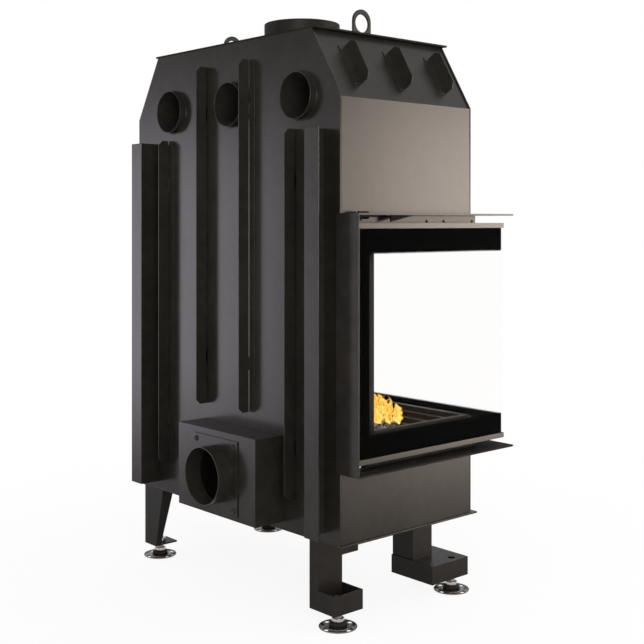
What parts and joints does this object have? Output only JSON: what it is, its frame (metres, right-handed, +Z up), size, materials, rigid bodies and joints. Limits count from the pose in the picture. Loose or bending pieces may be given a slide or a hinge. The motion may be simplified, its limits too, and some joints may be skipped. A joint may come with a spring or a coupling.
{
  "type": "fireplace insert",
  "caption": "Corner fireplace insert: steel firebox with chamfered hood and cooling fins, hinged corner glass door, valved rear air inlet, flue collar, lifting eyes and levelling feet.",
  "frame": {"origin": "on the floor, under the centre of the whole insert", "axes": "+Z up, the front faces -Y, the glazed side faces -X"},
  "size_m": [0.807, 0.613, 1.3],
  "materials": {
    "casing_paint": "satin heat-proof graphite paint",
    "fin_paint": "matt black heat-proof paint",
    "air_box_paint": "satin black paint",
    "frame_paint": "satin black paint",
    "door_paint": "satin black paint",
    "door_glass": "clear ceramic glass",
    "rope_gasket": "braided glass fibre rope",
    "hearth_steel": "plain hot-rolled steel",
    "refractory": "pressed refractory board",
    "leg_paint": "satin black paint",
    "zinc": "bright zinc plate",
    "handle_steel": "brushed steel"
  },
  "bodies": {
    "casing": {"air_box": "air_box_paint", "air_inlet_spigot": "air_box_paint", "air_rod_guides": "air_box_paint", "back_fin_1": "fin_paint", "back_fin_2": "fin_paint", "back_fin_3": "fin_paint", "back_fin_4": "fin_paint", "back_panel": "casing_paint", "baffle": "refractory", "convection_tube_1": "casing_paint", "convection_tube_2": "casing_paint", "convection_tube_3": "casing_paint", "floor_plate": "casing_paint", "flue_collar": "casing_paint", "foot_nuts": "zinc", "frame_bottom_ledge": "frame_paint", "frame_rear_post": "frame_paint", "frame_right_post": "frame_paint", "frame_top_ledge": "frame_paint", "front_panel": "casing_paint", "hearth_floor": "refractory", "hearth_plate": "hearth_steel", "hinge_bolts": "zinc", "hinge_brackets": "frame_paint", "hood_fins_left": "casing_paint", "hood_fins_right": "casing_paint", "latch_keeper": "frame_paint", "left_hood_panel": "casing_paint", "left_panel": "casing_paint", "leg_back_left": "leg_paint", "leg_back_right": "leg_paint", "leg_front_left": "leg_paint", "leg_front_right": "leg_paint", "lifting_eyes": "casing_paint", "lining_back": "refractory", "lining_left": "refractory", "lining_right": "refractory", "panel_screws": "zinc", "rear_rail_left": "fin_paint", "rear_rail_right": "fin_paint", "right_hood_panel": "casing_paint", "right_panel": "casing_paint", "seal_frame": "frame_paint", "top_plate": "casing_paint"},
    "door": {"door_top_rail": "door_paint", "door_bottom_rail": "door_paint", "door_hinge_stile": "door_paint", "door_handle_stile": "door_paint", "side_glass": "door_glass", "front_glass": "door_glass", "door_gasket": "rope_gasket", "hinge_pins": "zinc"},
    "handle": {"door_handle": "handle_steel", "latch_cam": "zinc"},
    "air_control": {"air_control_rod": "zinc", "air_valve_disc": "air_box_paint"},
    "foot_back_left_body": {"foot_back_left": "zinc"},
    "foot_back_right_body": {"foot_back_right": "zinc"},
    "foot_front_left_body": {"foot_front_left": "zinc"},
    "foot_front_right_body": {"foot_front_right": "zinc"}
  },
  "joints": [
    {"name": "door_hinge", "type": "hinge", "parent": "casing", "child": "door", "pos_m": [-0.37485, 0.1745, 0.587], "axis": [0, 0, -1], "range_deg": [0, 90]},
    {"name": "handle_turn", "type": "hinge", "parent": "door", "child": "handle", "pos_m": [0.3765, -0.2655, 0.587], "axis": [0, -1, 0], "range_deg": [0, 90]},
    {"name": "air_slide", "type": "slide", "parent": "casing", "child": "air_control", "axis": [0, 1, 0], "range_m": [0, 0.04]},
    {"name": "foot_back_left_height", "type": "slide", "parent": "casing", "child": "foot_back_left_body", "axis": [0, 0, 1], "range_m": [-0.015, 0]},
    {"name": "foot_back_right_height", "type": "slide", "parent": "casing", "child": "foot_back_right_body", "axis": [0, 0, 1], "range_m": [-0.015, 0]},
    {"name": "foot_front_left_height", "type": "slide", "parent": "casing", "child": "foot_front_left_body", "axis": [0, 0, 1], "range_m": [-0.015, 0]},
    {"name": "foot_front_right_height", "type": "slide", "parent": "casing", "child": "foot_front_right_body", "axis": [0, 0, 1], "range_m": [-0.015, 0]}
  ]
}
